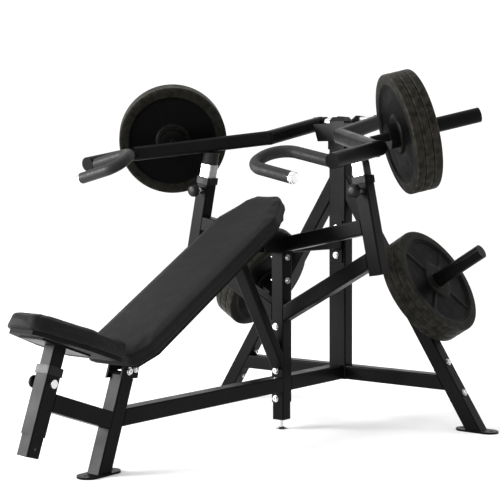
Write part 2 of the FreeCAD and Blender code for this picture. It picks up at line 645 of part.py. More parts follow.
rear_arm = square_tube("RearArm", elbow, pivot, arm_wide, arm_high, "", arm_corner, level_side(elbow, pivot))
front_arm = square_tube("FrontArm", elbow, meet, arm_wide, arm_high, "", arm_corner, level_side(elbow, meet))
bend_axis = (pivot - elbow).cross(meet - elbow).normalize()
knuckle_core = cylinder("ArmKnuckle", elbow - bend_axis * (size("arm_high") / 2),
                        elbow + bend_axis * (size("arm_high") / 2), arm_wide)
doc.recompute()
knuckle = doc.addObject("Part::Fillet", "ArmKnuckleRound")
knuckle.Base = knuckle_core
knuckle_edges = []
for index, edge in enumerate(knuckle_core.Shape.Edges, start=1):
    if edge.Curve.TypeId == "Part::GeomCircle":
        knuckle_edges.append((index, size("arm_corner"), size("arm_corner")))
knuckle.Edges = knuckle_edges
doc.recompute()
barrel_solid = cylinder("BarrelSolid", tip, barrel_end, cell("press_barrel"))
barrel_round = doc.addObject("Part::Sphere", "BarrelRound")
barrel_round.setExpression("Radius", cell("press_barrel") + " / 2")
barrel_round.Placement.Base = barrel_end
press_barrel = fuse("PressBarrel", [barrel_solid, barrel_round])
arm = cut("ArmTrim", fuse("ArmWhole", [rear_arm, front_arm, knuckle]), [bush_solid, press_barrel])
horn_turn = math.radians(size("high_horn_turn"))
horn_rise = math.radians(size("high_horn_rise"))
horn_out = V(math.cos(horn_rise) * math.sin(horn_turn), math.cos(horn_rise) * math.cos(horn_turn),
             math.sin(horn_rise))
ring_face = V(size("ring_x"), size("ring_y"), size("ring_z"))
high_seat = ring_face + horn_out * size("ring_to_plates")
neck_root = ring_face - horn_out * size("neck_long")
ring_back = ring_face - horn_out * size("leveller_step")
high_end = high_seat + horn_out * (stack + size("high_horn_free"))
arm_block = block("ArmBlock", elbow, meet, arm_wide, arm_high, level_side(elbow, meet))
high_horn_whole = fuse("HighHorn", [
    cylinder("HighHornRod", ring_back, high_end, cell("horn_dia")),
    cylinder("HighHornCollar", ring_back, high_seat, collar_disc),
    cylinder("HighHornNeck", neck_root, ring_face, cell("horn_neck")),
])
both_sides("plate_horn", cut("HighHornNeckEnd", high_horn_whole, [arm_block]))
both_sides("arm_tube", arm)
both_sides("press_barrel", press_barrel)
stack_nodes("arm_plates", plate_stack("High", high_seat, horn_out))

# ---------------------------------------------------------------- handles

rise = math.radians(size("grip_rise"))
grip_in = V(-math.cos(rise), 0, math.sin(rise))
drop = math.radians(size("grip_drop"))
grip_over = V(0, -math.cos(drop), -math.sin(drop))
grip_over = (grip_over - grip_in * grip_over.dot(grip_in)).normalize()
GRIP_SUNK = 6
grip_start = tip + V(-size("press_barrel") / 2 + GRIP_SUNK, size("grip_dia") / 2 + 1, 0)
bend_start = grip_start + grip_in * size("grip_run")
bend_normal = grip_in.cross(grip_over)


def quarter_bend(name, centre, first, radius):
    """A quarter turn of the handle's tube about centre, starting in the direction first."""
    bend = doc.addObject("Part::Torus", name)
    bend.setExpression("Radius1", radius)
    bend.setExpression("Radius2", cell("grip_dia") + " / 2")
    bend.Angle3 = 90
    bend.Placement = FreeCAD.Placement(centre, FreeCAD.Rotation(first, V(0, 0, 0), bend_normal, "ZXY"))
    return bend


wide_centre = bend_start + grip_over * size("grip_bend")
mid_start = wide_centre + grip_in * size("grip_bend")
mid_end = mid_start + grip_over * size("grip_mid")
tight_centre = mid_end - grip_in * size("grip_turn")
bend_end = tight_centre + grip_over * size("grip_turn")
grip_end = bend_end - grip_in * size("grip_back")
grip_whole = fuse("Grip", [
    cylinder("GripRoot", grip_start, bend_start, cell("grip_dia")),
    quarter_bend("GripWideBend", wide_centre, grip_over * -1, cell("grip_bend")),
    cylinder("GripMiddle", mid_start, mid_end, cell("grip_dia")),
    quarter_bend("GripTightBend", tight_centre, grip_in, cell("grip_turn")),
    cylinder("GripBar", bend_end, grip_end, cell("grip_dia")),
])
both_sides("handle", cut("GripCope", grip_whole, [barrel_solid]))
both_sides("handle_cap", cylinder("GripCap", grip_end, grip_end - grip_in * size("grip_cap"), cell("grip_dia")))

# ---------------------------------------------------------------- seat

seat_top_rear = V(0, size("seat_top_y"), size("seat_top_z"))
seat_up = lean
seat_low_rear = seat_top_rear - seat_up * size("pad_thick")
seat_frame = FreeCAD.Rotation(RIGHT, V(0, 0, 0), seat_up, "ZXY")
half_rear = size("seat_rear") / 2
half_front = size("seat_front") / 2
seat_long = size("seat_long")
seat_waist = -0.44 * seat_long
seat_shoulder = -0.93 * seat_long
half_nose = half_front - 26
seat_corners = [(-half_rear, 0), (half_rear, 0), (half_rear, seat_waist), (half_front, seat_shoulder),
                (half_nose, -seat_long), (-half_nose, -seat_long), (-half_front, seat_shoulder),
                (-half_rear, seat_waist)]
keep("seat_pad", outline_plate("SeatPad", seat_corners, cell("pad_thick"),
                               FreeCAD.Placement(seat_low_rear, seat_frame)))
BOARD_SHARE = 0.9
board_corners = [(x * BOARD_SHARE, y * 0.92 - size("board_thick")) for x, y in seat_corners]
board_base = seat_low_rear - seat_up * size("board_thick")
keep("seat_board", outline_plate("SeatBoard", board_corners, cell("board_thick"),
                                 FreeCAD.Placement(board_base, seat_frame)))

post_foot = sleeve_foot - lean * size("seat_post_below")
post_plane = (board_base - post_foot).dot(lean)
post_head = post_foot + lean * (post_plane - size("bracket_steel"))
seat_post = square_tube("SeatPost", post_foot, post_head, inner_size, inner_size, WALL, CORNER)
post_hole_at = post_foot + lean * size("collar_high")
seat_post_hole = cylinder("SeatPostHole", post_hole_at - RIGHT * size("tube"), post_hole_at + RIGHT * size("tube"),
                          cell("pin_dia"))
keep("seat_post", cut("SeatPostDrilled", seat_post, [seat_post_hole]))
bracket_middle = post_head + lean * (size("bracket_steel") / 2)
bracket_half = ahead * (size("bracket_long") / 2)
bracket = block("SeatBracket", bracket_middle + bracket_half, bracket_middle - bracket_half,
                cell("bracket_wide"), cell("bracket_steel"))
keep("seat_bracket", bracket)

# ---------------------------------------------------------------- back pad with its rail and strut

recline = math.radians(size("back_tilt"))
back_up = V(0, math.cos(recline), math.sin(recline))
back_out = V(0, -math.sin(recline), math.cos(recline))
back_low = V(0, size("back_low_y"), size("back_low_z"))
back_frame = FreeCAD.Rotation(RIGHT, back_up, back_out, "ZXY")
back_long = size("back_long")
half_back = size("back_wide") / 2
half_top = size("back_top_wide") / 2
half_low = size("back_low_wide") / 2
taper = back_long - size("back_taper")
low_cut = size("back_low_cut")
round_top = back_long - 28
half_tip = half_top - 18
half_neck = half_top + 8
back_corners = [(-half_low, 0), (half_low, 0), (half_back, low_cut), (half_back, taper),
                (half_neck, round_top), (half_tip, back_long), (-half_tip, back_long), (-half_neck, round_top),
                (-half_back, taper), (-half_back, low_cut)]
back_base = back_low - back_out * size("back_thick")
keep("back_pad", outline_plate("BackPad", back_corners, cell("back_thick"),
                               FreeCAD.Placement(back_base, back_frame)))
back_board_corners = [(x * BOARD_SHARE, 20 + y * 0.955) for x, y in back_corners]
back_board_base = back_base - back_out * size("board_thick")
keep("back_board", outline_plate("BackBoard", back_board_corners, cell("board_thick"),
                                 FreeCAD.Placement(back_board_base, back_frame)))
rail_drop = back_board_base - back_out * (size("rail_high") / 2)
rail_low = rail_drop + back_up * size("rail_start")
rail_high = rail_drop + back_up * size("rail_stop")
rail = square_tube("BackRail", rail_low, rail_high, cell("rail_wide"), cell("rail_high"), WALL, cell("rail_corner"))
behind_y = FAR / 2 - half_tube
post_space = block("PostSpace", V(0, behind_y + 2, 0), V(0, behind_y + 2, FAR * 4), cell("rail_wide") + " + 20",
                   FAR_TEXT)
keep("back_rail", cut("BackRailEnd", rail, [post_space]))
rail_solid = block("RailSolid", rail_low - back_up * SPARE, rail_high + back_up * SPARE,
                   cell("rail_wide") + " + 40", cell("rail_high"))

strut_low = V(0, size("strut_low_y"), size("strut_low_z"))
strut_high = V(0, size("strut_high_y"), size("strut_high_z"))
strut_line = (strut_high - strut_low).normalize()
strut_spare = strut_line * (2 * SPARE)
strut = square_tube("BackStrut", strut_low - strut_spare, strut_high + strut_spare, TUBE,
                    cell("strut_deep"), WALL, CORNER)
behind_face = block("BehindPostFace", V(0, behind_y, 0), V(0, behind_y, FAR * 4), TUBE, FAR_TEXT)
rail_beyond = back_out * (size("rail_high") / 2 + FAR / 4)
above_rail = block("AboveRail", rail_low + rail_beyond, rail_high + rail_beyond, FAR_TEXT, "200 mm")
keep("back_strut", cut("BackStrutEnds", strut, [behind_face, rail_solid, above_rail]))

gusset_corners = [(-130, 600), (-24, 594), (24, 594), (24, size("post_top")), (-60, 668), (-130, 668)]
gusset_place = FreeCAD.Placement(V(half_tube, 0, 0), FreeCAD.Rotation(V(0, 1, 0), UP, RIGHT, "ZXY"))
gusset = outline_plate("PostGusset", gusset_corners, cell("gusset_steel"), gusset_place)
pair("post_gussets", [gusset])

rail_ear_corners = [(-814, 266), (-742, 262), (-734, 306), (-800, 303)]
rail_ear = outline_plate("RailEar", rail_ear_corners, STEEL, gusset_place)
pair("rail_ears", [rail_ear])

# ---------------------------------------------------------------- bolts

POST_FRONT_BOLTS = (345, 247, 197, 103)
POST_SIDE_BOLTS = ((half_tube, -4, 578), (half_tube, -4, 500))
gusset_face = half_tube + size("gusset_steel")
ear_face = half_tube + size("plate_steel")
CHEEK_BOLTS = ((gusset_face, -4, 622), (gusset_face, -112, 650), (ear_face, -778, 286), (ear_face, -750, 290))
for high in POST_FRONT_BOLTS:
    bolt_set("bolts_frame", V(-6, -half_tube, high), FRONT, size("tube"))
for face, across, high in POST_SIDE_BOLTS + CHEEK_BOLTS:
    bolt_set("bolts_frame", V(face, across, high), RIGHT, 2 * face)

# ---------------------------------------------------------------- drilling, checking and writing

doc.recompute()
drilled = ["middle_post", "column", "rear_legs", "front_leg", "post_gussets", "upper_beam_flange",
           "rail_ears", "post_foot_tube", "upright_braces", "rear_beams", "back_strut", "back_rail"]
hole_compound = doc.addObject("Part::Feature", "BoltHoles")
hole_compound.Shape = Part.makeCompound(bolt_holes)
for node in drilled:
    source = parts[node]
    source.Label = node + "_blank"
    keep(node, cut(node.title().replace("_", "") + "Bolted", source, [hole_compound]))
for node, solids in bolts.items():
    group = doc.addObject("Part::Feature", node.title().replace("_", ""))
    group.Shape = Part.makeCompound(solids)
    keep(node, group)
doc.recompute()
strut_drilled = parts["back_strut"]
strut_drilled.Label = "back_strut_drilled"
keep("back_strut", cut("BackStrutNotch", strut_drilled, [parts["bolts_frame"]]))
doc.recompute()

faults = []
for item in doc.Objects:
    if "Invalid" in item.State or "Error" in item.State:
        faults.append(item.Name)
for node, item in parts.items():
    if item.Shape.isNull() or not item.Shape.isValid() or not item.Shape.Solids:
        faults.append(node)
if faults:
    raise RuntimeError("failed: " + ", ".join(faults))

os.makedirs("parts", exist_ok=True)
for node, item in parts.items():
    item.Shape.exportStep("parts/%s.step" % node)
print("%d nodes written" % len(parts))
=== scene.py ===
# %% [markdown]
# # An incline chest press with weight plates
# The machine is a black steel frame with two padded cushions and two hinged arms that carry iron plates.
# Most of it comes from the CAD model, so this script only adds what CAD does badly: stuffed cushions, cast
# plates with ribs, moulded knobs, pressed chrome caps, and finishes that show how each surface was made.

# %% Load the CAD model as a fixed frame
import json
import math

import bmesh
import bpy
import numpy as np
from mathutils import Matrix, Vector


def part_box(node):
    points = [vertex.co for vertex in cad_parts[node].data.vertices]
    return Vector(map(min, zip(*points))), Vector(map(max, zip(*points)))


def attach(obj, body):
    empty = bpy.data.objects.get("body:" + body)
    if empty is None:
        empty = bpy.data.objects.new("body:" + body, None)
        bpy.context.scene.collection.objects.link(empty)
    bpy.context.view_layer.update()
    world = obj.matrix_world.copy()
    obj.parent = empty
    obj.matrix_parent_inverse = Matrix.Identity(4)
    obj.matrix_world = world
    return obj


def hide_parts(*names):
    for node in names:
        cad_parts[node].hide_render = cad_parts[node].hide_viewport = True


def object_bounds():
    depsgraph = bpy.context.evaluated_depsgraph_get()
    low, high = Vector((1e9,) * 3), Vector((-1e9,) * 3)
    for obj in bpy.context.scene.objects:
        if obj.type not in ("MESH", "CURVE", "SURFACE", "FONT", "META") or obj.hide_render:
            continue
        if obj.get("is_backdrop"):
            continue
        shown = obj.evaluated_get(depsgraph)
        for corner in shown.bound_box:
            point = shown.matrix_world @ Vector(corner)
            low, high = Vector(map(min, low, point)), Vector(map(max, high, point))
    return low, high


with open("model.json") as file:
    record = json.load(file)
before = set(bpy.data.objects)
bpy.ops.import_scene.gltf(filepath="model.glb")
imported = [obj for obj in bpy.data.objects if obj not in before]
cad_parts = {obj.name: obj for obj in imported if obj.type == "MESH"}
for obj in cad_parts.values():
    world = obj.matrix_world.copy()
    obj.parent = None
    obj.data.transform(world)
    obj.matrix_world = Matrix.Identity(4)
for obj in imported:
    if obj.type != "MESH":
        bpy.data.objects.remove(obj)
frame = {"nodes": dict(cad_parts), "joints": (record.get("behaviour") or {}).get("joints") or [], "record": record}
cad_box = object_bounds()

# %% [markdown]
# ## Camera
# A catalogue picture of a machine this size is taken from a few metres away with a long lens, at about chest
# height. The lens is kept level, so the uprights stay upright, and a shift moves the machine up into the frame.

# %% Place a level camera with a long lens
CAMERA_TURN = 38.03
camera_data = bpy.data.cameras.new("studio_camera")
camera_data.lens = 91.43
camera_data.sensor_width = 36.0
camera_data.shift_y = -0.1325
camera = bpy.data.objects.new("studio_camera", camera_data)
camera.location = (2.5586, -3.4447, 0.8259)
camera.rotation_euler = (math.pi / 2, 0.0, math.radians(CAMERA_TURN))
bpy.context.scene.collection.objects.link(camera)
bpy.context.scene.camera = camera
print("camera at", tuple(round(v, 2) for v in camera.location))

# %% [markdown]
# ## Studio
# Black satin paint is only visible through what it reflects. Large soft panels give each square tube one pale
# face and one dark face: a wide one overhead, a strong low one to the front left, and a weak one on the right.
# The surroundings are white, a little above full brightness, so that the pale floor has no edge against them.

# %% Pale floor and plain white surroundings
FLOOR_HALF_WIDE = 30.0
FLOOR_CELLS = 8
FLOOR_BELOW = 0.0006


def flat_floor(half_wide):
    """A square grid of points just below height zero, half_wide metres to each side."""
    across = np.linspace(-half_wide, half_wide, FLOOR_CELLS + 1)
    x, y = np.meshgrid(across, across)
    points = np.stack([x.ravel(), y.ravel(), np.full(x.size, -FLOOR_BELOW)], axis=1)
    cell = np.arange(FLOOR_CELLS)
    row = FLOOR_CELLS + 1
    corner = cell[:, None] * row + cell[None, :]
    faces = np.stack([corner, corner + 1, corner + row + 1, corner + row], axis=-1).reshape(-1, 4)
    mesh = bpy.data.meshes.new("studio_floor")
    mesh.from_pydata(points.tolist(), [], faces.tolist())
    return mesh


floor = bpy.data.objects.new("studio_floor", flat_floor(FLOOR_HALF_WIDE))
bpy.context.scene.collection.objects.link(floor)
floor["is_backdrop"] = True
floor_paint = bpy.data.materials.new("pale_floor")
floor_paint.use_nodes = True
floor_paint.node_tree.nodes["Principled BSDF"].inputs["Base Color"].default_value = (0.96, 0.96, 0.96, 1.0)
floor_paint.node_tree.nodes["Principled BSDF"].inputs["Roughness"].default_value = 0.85
floor.data.materials.append(floor_paint)

world = bpy.data.worlds.new("studio_surroundings")
bpy.context.scene.world = world
world.use_nodes = True
world.node_tree.nodes["Background"].inputs["Color"].default_value = (1.0, 1.0, 1.0, 1.0)
world.node_tree.nodes["Background"].inputs["Strength"].default_value = 1.08
bpy.context.scene.view_settings.view_transform = "Standard"
print("floor:", 2 * FLOOR_HALF_WIDE, "m across")


# %% Soft panels
def soft_panel(name, place, target, wide, high, power):
    """A rectangular light at place, turned to face target."""
    light = bpy.data.lights.new(name, "AREA")
    light.shape = "RECTANGLE"
    light.size = wide
    light.size_y = high
    light.energy = power
    panel = bpy.data.objects.new(name, light)
    panel.location = place
    panel.rotation_euler = (Vector(target) - Vector(place)).to_track_quat("-Z", "Y").to_euler()
    bpy.context.scene.collection.objects.link(panel)


soft_panel("overhead_panel", (-0.6, -0.9, 4.2), (0.0, -0.2, 0.4), 3.2, 2.6, 45.0)
soft_panel("front_left_panel", (-3.5, -4.0, 1.75), (0.0, -0.6, 0.5), 2.8, 1.8, 520.0)
soft_panel("right_panel", (4.2, 0.8, 1.9), (0.0, 0.0, 0.7), 1.6, 2.4, 2.0)

# %% [markdown]
# ## Finishes
# Each finish is a small network of procedural nodes read from Object coordinates, in metres, so that its grain
# has the same size on every piece. A broad noise varies the colour and gloss, as hands, dust and baking do, and
# a fine one makes the bump. Numbers that are the same all over a surface are set on the shader itself.

# %% Helpers for finishes
class Finish:
    """A material with its shader, its object coordinates, and short calls to add textures to them."""

    def __init__(self, name, colour, roughness, metallic=0.0):
        self.material = bpy.data.materials.new(name)
        self.material.use_nodes = True
        self.tree = self.material.node_tree
        self.shader = self.tree.nodes["Principled BSDF"]
        self.shader.inputs["Base Color"].default_value = (*colour, 1.0)
        self.shader.inputs["Roughness"].default_value = roughness
        self.shader.inputs["Metallic"].default_value = metallic
        self.place = self.tree.nodes.new("ShaderNodeTexCoord").outputs["Object"]
        self.normal = None

    def link(self, start, end):
        """Connects one socket to another and gives back the start."""
        self.tree.links.new(start, end)
        return start

    def stretched(self, amounts):
        """Object coordinates with each axis multiplied by its amount: streaks follow the smallest one."""
        mapping = self.tree.nodes.new("ShaderNodeMapping")
        mapping.inputs["Scale"].default_value = amounts
        self.link(self.place, mapping.inputs["Vector"])
        return mapping.outputs["Vector"]

    def noise(self, per_metre, detail=2.0, place=None):
        """Cloudy noise with per_metre lumps in a metre."""
        node = self.tree.nodes.new("ShaderNodeTexNoise")
        node.inputs["Scale"].default_value = per_metre
        node.inputs["Detail"].default_value = detail
        self.link(place or self.place, node.inputs["Vector"])
        return node.outputs["Fac"]

    def cells(self, per_metre, feature="F1"):
        """Distance to the nearest of many scattered points, for grain and pores."""
        node = self.tree.nodes.new("ShaderNodeTexVoronoi")
        node.feature = feature
        node.inputs["Scale"].default_value = per_metre
        self.link(self.place, node.inputs["Vector"])
        return node.outputs["Distance"]

    def painted(self, name):
        """A number stored on the mesh at each point under name."""
        node = self.tree.nodes.new("ShaderNodeAttribute")
        node.attribute_name = name
        return node.outputs["Fac"]

    def spread(self, value, low, high, start=0.0, end=1.0):
        """Changes value so that low becomes start and high becomes end, with nothing outside them."""
        node = self.tree.nodes.new("ShaderNodeMapRange")
        for socket, number in (("From Min", low), ("From Max", high), ("To Min", start), ("To Max", end)):
            node.inputs[socket].default_value = number
        self.link(value, node.inputs["Value"])
        return node.outputs["Result"]

    def times(self, first, second):
        """Product of two values."""
        node = self.tree.nodes.new("ShaderNodeMath")
        node.operation = "MULTIPLY"
        self.link(first, node.inputs[0])
        self.link(second, node.inputs[1])
        return node.outputs["Value"]

    def colours(self, value, first, second):
        """Blends the base colour from first to second as value goes from 0 to 1."""
        node = self.tree.nodes.new("ShaderNodeMix")
        node.data_type = "RGBA"
        node.inputs["A"].default_value = (*first, 1.0)
        node.inputs["B"].default_value = (*second, 1.0)
        self.link(value, node.inputs["Factor"])
        self.link(node.outputs["Result"], self.shader.inputs["Base Color"])
        return node.outputs["Result"]

    def gloss(self, value, low, high, smoothest, roughest):
        """Drives roughness from value."""
        self.link(self.spread(value, low, high, smoothest, roughest), self.shader.inputs["Roughness"])

    def bump(self, value, metres, strength=1.0):
        """Raises the surface by value times metres; a second call adds to the first."""
        node = self.tree.nodes.new("ShaderNodeBump")
        node.inputs["Distance"].default_value = metres
        node.inputs["Strength"].default_value = strength
        self.link(value, node.inputs["Height"])
        if self.normal is not None:
            self.link(self.normal, node.inputs["Normal"])
        self.normal = node.outputs["Normal"]
        self.link(self.normal, self.shader.inputs["Normal"])


# %% [markdown]
# ### Powder coat
# The frame is powder-coated: dry paint is baked on, so it flows into a satin skin with a fine orange-peel
# texture. Two noises make it: small pits about a millimetre apart, and slow changes of gloss over a hand's
# width.

# %% Satin black powder coat
def powder_coat():
    """Satin black with orange peel and slow changes of gloss."""
    coat = Finish("powder_coat", (0.02, 0.02, 0.021), 0.4)
    broad = coat.noise(7.0, 3.0)
    coat.colours(coat.spread(broad, 0.35, 0.7), (0.0018, 0.0018, 0.0019), (0.0032, 0.0032, 0.0034))
    coat.gloss(coat.noise(16.0, 4.0), 0.3, 0.7, 0.3, 0.4)
    coat.bump(coat.noise(650.0, 2.0), 0.00022, 0.55)
    coat.shader.inputs["Specular IOR Level"].default_value = 0.06
    return coat.material


# %% [markdown]
# ### Enamelled iron
# The plates are cast in sand and dipped in baked enamel, then rolled over a gym floor for years. The casting is
# lumpy under the paint and the rims are rubbed to a brown grey. The two corners of each rim are palest: that is a
# painted highlight where the rounded corners catch the light, added on top of the wear. The mesh stores how rubbed
# each point is together with this painted highlight, so both follow the shape and not the place of the plate.

# %% Enamelled cast iron with rubbed rims and painted highlights on the rim corners
def cast_iron():
    """Dark enamel over lumpy iron, which the stored value wears through to brown-grey metal; the same value also
    lays a painted highlight on the rim corners.
    """
    iron = Finish("cast_iron", (0.018, 0.018, 0.017), 0.42)
    # the stored value is rim wear plus a painted highlight on the rounded rim corners, and it lightens the base
    # colour
    wear_and_painted_highlight = iron.painted("wear_and_painted_highlight")
    patchy = iron.spread(iron.noise(55.0, 5.0), 0.3, 0.62, 0.25, 1.0)
    iron.colours(iron.times(wear_and_painted_highlight, patchy), (0.0013, 0.0013, 0.0013), (0.034, 0.0322, 0.0258))
    iron.gloss(iron.noise(30.0, 4.0), 0.3, 0.7, 0.34, 0.5)
    iron.bump(iron.noise(160.0, 4.0), 0.0005, 0.4)
    iron.bump(iron.noise(900.0, 2.0), 0.0002, 0.5)
    iron.shader.inputs["Specular IOR Level"].default_value = 0.03
    return iron.material


# %% [markdown]
# ### Vinyl
# The cushions are covered in black vinyl pressed with a fine pebble grain. Cells a millimetre and a half across
# make the pebbles, and the creases between them are duller. A little sheen stands for the soft raised top.

# %% Grained vinyl
def grained_vinyl():
    """Charcoal vinyl with pebble grain."""
    vinyl = Finish("grained_vinyl", (0.03, 0.03, 0.032), 0.5)
    pebbles = vinyl.cells(780.0, "DISTANCE_TO_EDGE")
    worn = vinyl.noise(5.0, 3.0)
    vinyl.colours(vinyl.spread(worn, 0.35, 0.7), (0.0048, 0.0048, 0.0052), (0.0064, 0.0064, 0.0069))
    vinyl.gloss(vinyl.noise(24.0, 3.0), 0.3, 0.7, 0.46, 0.58)
    vinyl.bump(vinyl.spread(pebbles, 0.0, 0.22), 0.00022, 0.6)
    vinyl.bump(vinyl.noise(95.0, 3.0), 0.0006, 0.35)
    vinyl.shader.inputs["Specular IOR Level"].default_value = 0.07
    vinyl.shader.inputs["Sheen Weight"].default_value = 0.03
    vinyl.shader.inputs["Sheen Roughness"].default_value = 0.5
    return vinyl.material


# %% [markdown]
# ### Bright metals
# Chrome on the handle ends is a mirror with faint haze. The sliding posts and the bolts are zinc plated, which
# is paler and duller, with fine scratches along the way that the metal was drawn or slides.

# %% Chrome and zinc
def chrome():
    """Mirror plating with faint haze."""
    plate = Finish("chrome", (0.78, 0.78, 0.79), 0.08, 1.0)
    plate.gloss(plate.noise(60.0, 4.0), 0.35, 0.7, 0.06, 0.16)
    plate.bump(plate.noise(420.0, 2.0), 0.00004, 0.4)
    return plate.material


def zinc_plate(name, along, dull):
    """Pale plated steel with scratches along one axis, because the noise is stretched there."""
    zinc = Finish(name, (0.62, 0.62, 0.63), dull, 1.0)
    stretch = [900.0, 900.0, 900.0]
    stretch["XYZ".index(along)] = 22.0
    streaks = zinc.noise(1.0, 3.0, zinc.stretched(stretch))
    zinc.colours(zinc.noise(38.0, 4.0), (0.5, 0.5, 0.51), (0.72, 0.72, 0.73))
    zinc.gloss(streaks, 0.3, 0.7, dull - 0.06, dull + 0.1)
    zinc.bump(streaks, 0.00005, 0.5)
    return zinc.material


# %% [markdown]
# ### Rubber, plastic and plywood
# The grips and rests are matt moulded rubber, with a dry grain that hides finger marks. The knobs, collars and
# caps are injection-moulded nylon with a spark-eroded texture. The boards under the cushions are stained ply,
# whose layers show on the edges as thin paler lines.

# %% Rubber, nylon and ply
def moulded_rubber(name, shade, dull):
    """Matt rubber with a dry, fine grain."""
    rubber = Finish(name, (shade, shade, shade * 1.04), dull)
    rubber.colours(rubber.noise(26.0, 4.0), (shade * 0.8,) * 3, (shade * 1.3,) * 3)
    rubber.gloss(rubber.noise(70.0, 3.0), 0.3, 0.7, dull - 0.07, dull + 0.08)
    rubber.bump(rubber.cells(1100.0), 0.00016, 0.5)
    rubber.shader.inputs["Specular IOR Level"].default_value = 0.2
    return rubber.material


def moulded_nylon():
    """Black nylon with a fine spark-eroded texture."""
    nylon = Finish("moulded_nylon", (0.016, 0.016, 0.0165), 0.36)
    nylon.colours(nylon.noise(30.0, 3.0), (0.0022,) * 3, (0.0036,) * 3)
    nylon.gloss(nylon.noise(45.0, 3.0), 0.3, 0.7, 0.3, 0.44)
    nylon.bump(nylon.noise(1500.0, 2.0), 0.00008, 0.5)
    nylon.shader.inputs["Specular IOR Level"].default_value = 0.14
    return nylon.material


def stained_ply():
    """Black stained plywood with streaks of grain."""
    ply = Finish("stained_ply", (0.02, 0.018, 0.016), 0.62)
    grain = ply.noise(1.0, 4.0, ply.stretched((210.0, 18.0, 900.0)))
    ply.colours(ply.spread(grain, 0.35, 0.7), (0.002, 0.0019, 0.0018), (0.0052, 0.0046, 0.004))
    ply.gloss(grain, 0.3, 0.7, 0.52, 0.74)
    ply.bump(grain, 0.0003, 0.5)
    ply.shader.inputs["Specular IOR Level"].default_value = 0.08
    return ply.material


finishes = {
    "black_steel": powder_coat(),
    "cast_iron": cast_iron(),
    "leather": grained_vinyl(),
    "board": stained_ply(),
    "chrome": chrome(),
    "grip_rubber": moulded_rubber("grip_rubber", 0.008, 0.5),
    "zinc": zinc_plate("zinc_post", "Z", 0.3),
    "zinc_bolt": zinc_plate("zinc_bolts", "X", 0.24),
    "rest_rubber": moulded_rubber("rest_rubber", 0.006, 0.6),
    "black_plastic": moulded_nylon(),
}
for part in frame["record"]["subparts"]:
    node = frame["nodes"][part["node"]]
    if not node.material_slots:
        node.data.materials.append(None)
    for slot in node.material_slots:
        slot.material = finishes[part["material_slot"]]
print("finishes:", len(finishes))

# %% [markdown]
# ## Meshes from arrays
# Every new piece is a grid of points worked out in one go with numpy. The grid is closed round one or both
# ways, and quads join neighbours, so that the walls have no seams. Two helpers turn such grids into objects.

# %% Closed grids to meshes
def grid_faces(rows, columns, close_rows, close_columns):
    """Quads between neighbouring points of a rows by columns grid, joined round where asked."""
    i = np.arange(rows if close_rows else rows - 1)[:, None]
    j = np.arange(columns if close_columns else columns - 1)[None, :]
    down, right = (i + 1) % rows, (j + 1) % columns
    return np.stack([i * columns + j, i * columns + right, down * columns + right, down * columns + j],
                    axis=-1).reshape(-1, 4)


def solid_mesh(name, points, faces):
    """A mesh of these points and faces, with its faces turned outwards."""
    mesh = bpy.data.meshes.new(name)
    mesh.from_pydata(points.reshape(-1, 3).tolist(), [], [list(f) for f in faces])
    shell = bmesh.new()
    shell.from_mesh(mesh)
    bmesh.ops.recalc_face_normals(shell, faces=shell.faces)
    shell.to_mesh(mesh)
    shell.free()
    mesh.polygons.foreach_set("use_smooth", np.ones(len(mesh.polygons), bool))
    mesh.update()
    return mesh


def add_piece(name, mesh, finish, body, *nodes):
    """Puts a mesh in the scene with a finish, rides it on a body, and lets it stand for CAD nodes."""
    piece = bpy.data.objects.new(name, mesh)
    bpy.context.scene.collection.objects.link(piece)
    mesh.materials.clear()
    mesh.materials.append(finishes[finish])
    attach(piece, body)
    if nodes:
        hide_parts(*nodes)
    print(name, "faces:", len(mesh.polygons))
    return piece


def unit(vector):
    """The vector scaled to length one."""
    return np.asarray(vector, float) / np.linalg.norm(vector)


def square_frame(axis):
    """Three directions at right angles: one beside the axis, as near upright as can be, one across both, and
    the axis."""
    axis = unit(axis)
    upright = np.array([0.0, 0.0, 1.0])
    side = unit(upright - axis * np.dot(upright, axis))
    return side, np.cross(axis, side), axis


def lathe(profile, turns, start, axis):
    """Points of a profile turned round an axis: each row is (radius, height along the axis from start)."""
    side, across, axis = square_frame(axis)
    angle = np.linspace(0.0, 2.0 * np.pi, turns, endpoint=False)
    circle = np.cos(angle)[:, None] * side + np.sin(angle)[:, None] * across
    profile = np.asarray(profile, float)
    return (np.asarray(start) + profile[:, None, 0, None] * circle[None]
            + profile[:, None, 1, None] * axis)
